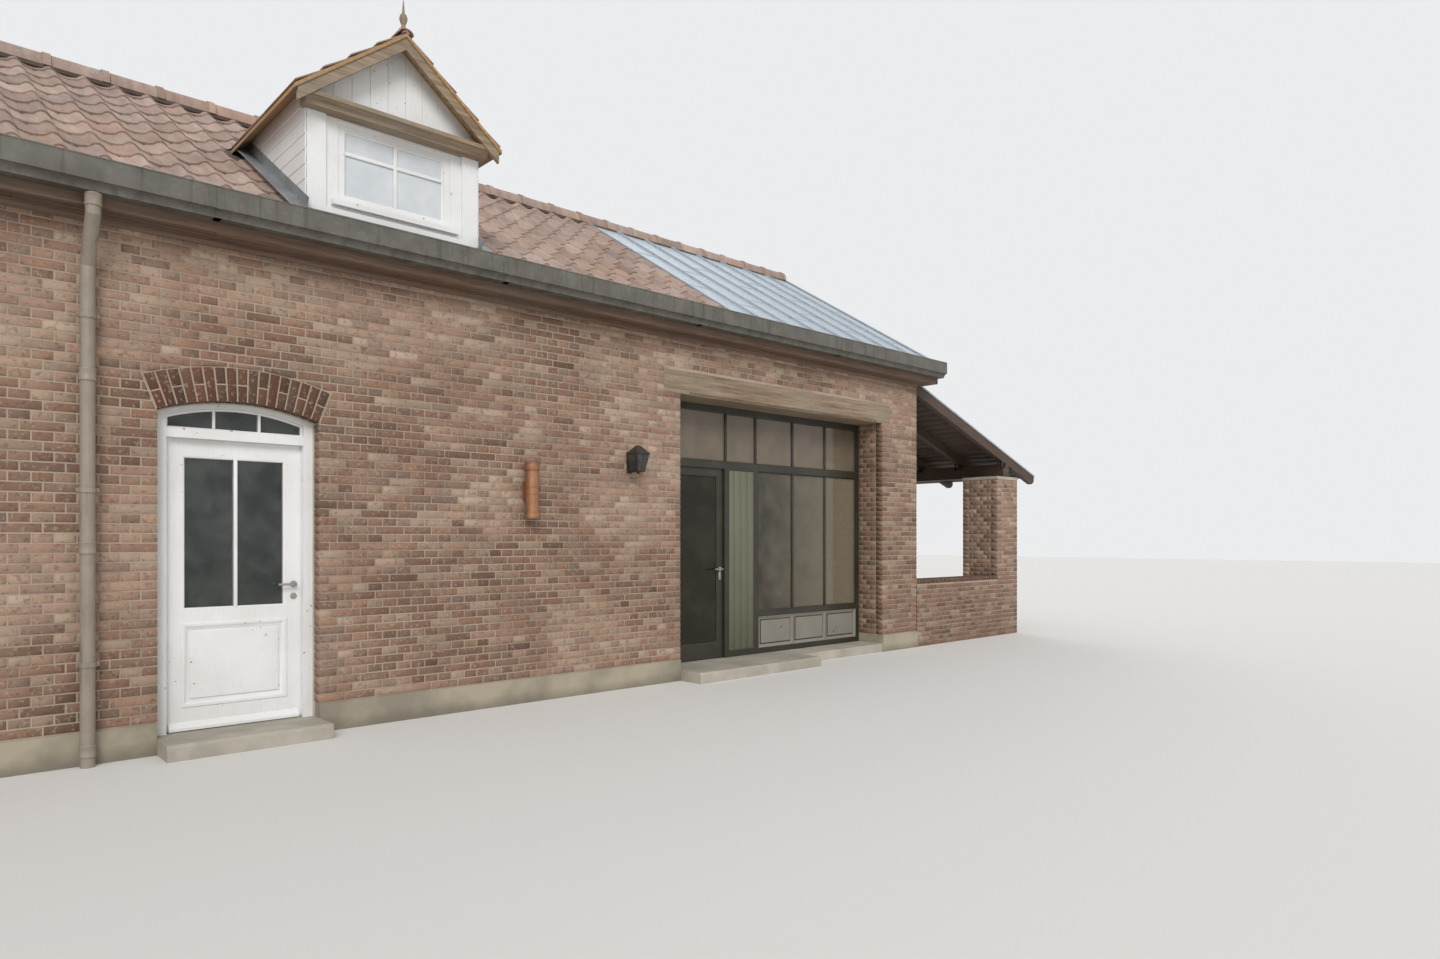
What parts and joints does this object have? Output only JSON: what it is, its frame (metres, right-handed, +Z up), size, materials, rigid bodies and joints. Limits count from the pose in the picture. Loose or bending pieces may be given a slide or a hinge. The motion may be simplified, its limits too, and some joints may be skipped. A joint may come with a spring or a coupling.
{
  "type": "brick farmhouse wing with dormer and lean-to canopy",
  "caption": "Long single-storey brick farmhouse wing with gabled roof, white dormer, arched half-glazed door, wide glazed entrance and lean-to canopy on one gable.",
  "frame": {"origin": "on the ground, in the middle of the overall length and depth of the building with its canopy", "axes": "+X along the front towards the canopy, -Y out of the front, +Z up"},
  "size_m": [15.32, 5.6806, 5.3502],
  "materials": {
    "brick": "mottled brown-pink hand-made bricks with pale lime joints, matte",
    "arch_brick": "darker red-brown bricks, matte",
    "weathered_oak": "weathered brown oak",
    "stone": "pale grey worn stone",
    "timber": "sawn softwood",
    "dark_boards": "dark brown stained boards",
    "white_paint": "white satin paint on wood",
    "dark_paint": "dark satin paint on wood",
    "grey_green_paint": "grey-green satin paint on wood",
    "roof_tile": "red-brown clay tiles, weathered",
    "roof_sheet": "pale grey standing-seam sheet",
    "zinc": "weathered grey zinc",
    "glass": "clear window glass",
    "steel": "satin steel",
    "copper": "aged copper",
    "iron": "black-painted iron"
  },
  "bodies": {
    "house": {"front_wall_left": "brick", "front_wall_over_door": "brick", "front_wall_middle": "brick", "front_wall_over_entrance": "brick", "front_wall_right": "brick", "rear_wall": "brick", "left_gable": "brick", "right_gable": "brick", "door_arch": "arch_brick", "entrance_lintel": "weathered_oak", "ground_floor": "stone", "loft_floor": "timber", "door_step": "stone", "entrance_step": "stone", "door_frame": "white_paint", "fanlight_glass": "glass", "entrance_frame": "dark_paint", "entrance_panel": "grey_green_paint", "entrance_side_glass": "glass", "entrance_top_glass": "glass", "roof_frame_front": "timber", "roof_frame_rear": "timber", "roof_tiles_front": "roof_tile", "roof_tiles_right_of_dormer": "roof_tile", "roof_tiles_below_dormer": "roof_tile", "roof_tiles_behind_dormer": "roof_tile", "roof_tiles_rear": "roof_tile", "roof_sheet_front": "roof_sheet", "roof_sheet_rear": "roof_sheet", "ridge_tiles": "roof_tile", "eaves_box_front": "dark_boards", "eaves_box_rear": "dark_boards", "barge_board_left": "dark_boards", "barge_board_right": "dark_boards", "gutter_front": "zinc", "gutter_rear": "zinc", "downpipe_front": "zinc", "downpipe_rear": "zinc", "dormer_front": "white_paint", "dormer_window_frame": "white_paint", "dormer_glass": "glass", "dormer_cheek_left": "white_paint", "dormer_cheek_right": "white_paint", "dormer_roof_left": "roof_tile", "dormer_roof_right": "roof_tile", "dormer_verge": "weathered_oak", "dormer_finial": "weathered_oak", "canopy_roof": "dark_boards", "canopy_frame": "dark_boards", "canopy_pier_front": "brick", "canopy_pier_rear": "brick", "canopy_low_wall": "brick", "wall_lamp": "copper", "wall_lantern": "iron"},
    "front_door_leaf": {"front_door": "white_paint", "front_door_glass": "glass", "front_door_handle": "steel"},
    "entrance_door_leaf": {"entrance_door": "dark_paint", "entrance_door_glass": "glass", "entrance_door_handle": "steel"}
  },
  "joints": [
    {"name": "front_door_hinge", "type": "hinge", "parent": "house", "child": "front_door_leaf", "pos_m": [-3.754, -2.29, 0.1003], "axis": [0, 0, 1], "range_deg": [0, 90]},
    {"name": "entrance_door_hinge", "type": "hinge", "parent": "house", "child": "entrance_door_leaf", "pos_m": [0.611, -2.06, 0.1003], "axis": [0, 0, 1], "range_deg": [0, 90]}
  ]
}
